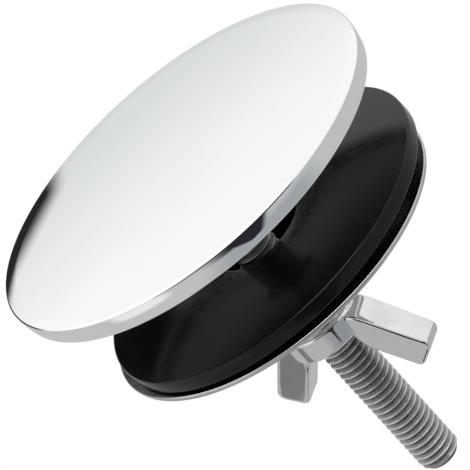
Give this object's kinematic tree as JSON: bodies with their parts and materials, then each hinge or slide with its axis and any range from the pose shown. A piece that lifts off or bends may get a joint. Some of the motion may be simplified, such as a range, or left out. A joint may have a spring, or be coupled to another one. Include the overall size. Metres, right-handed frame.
{
  "type": "faucet hole cover",
  "caption": "Round polished cover for an unused tap hole, with a threaded stud, rubber seal, dished backing plate and wing nut that clamp it to the deck.",
  "frame": {"origin": "centre of the cover's rim, in the plane that sits on the deck", "axes": "+Z along the stud, out of the cover's polished face; the wings of the nut lie along X at rest"},
  "size_m": [0.055, 0.055, 0.0565],
  "materials": {
    "mirror_chrome": "mirror polished",
    "zinc_plate": "grey zinc plate",
    "black_rubber": "glossy moulded",
    "bright_plate": "bright plated pressing",
    "polished_casting": "polished plated casting"
  },
  "bodies": {
    "cover": {"cover_cap": "mirror_chrome", "threaded_stud": "zinc_plate"},
    "seal": {"rubber_seal": "black_rubber"},
    "plate": {"backing_plate": "bright_plate"},
    "nut": {"wing_nut": "polished_casting"}
  },
  "joints": [
    {"name": "clamp_slide", "type": "slide", "parent": "cover", "child": "seal", "axis": [0, 0, 1], "range_m": [-0.02401, 0.00901]},
    {"name": "nut_turn", "type": "hinge", "parent": "seal", "child": "nut", "pos_m": [0, 0, -0.0272], "axis": [0, 0, 1], "range_deg": [-8640, 3240]},
    {"name": "plate_spin", "type": "hinge", "parent": "seal", "child": "plate", "pos_m": [0.00067, 0.0006, -0.0146], "axis": [0, 0, 1], "continuous": true}
  ],
  "couplings": [
    {"joint": "clamp_slide", "follows": "nut_turn", "m_per_rad": 0.00015915}
  ]
}
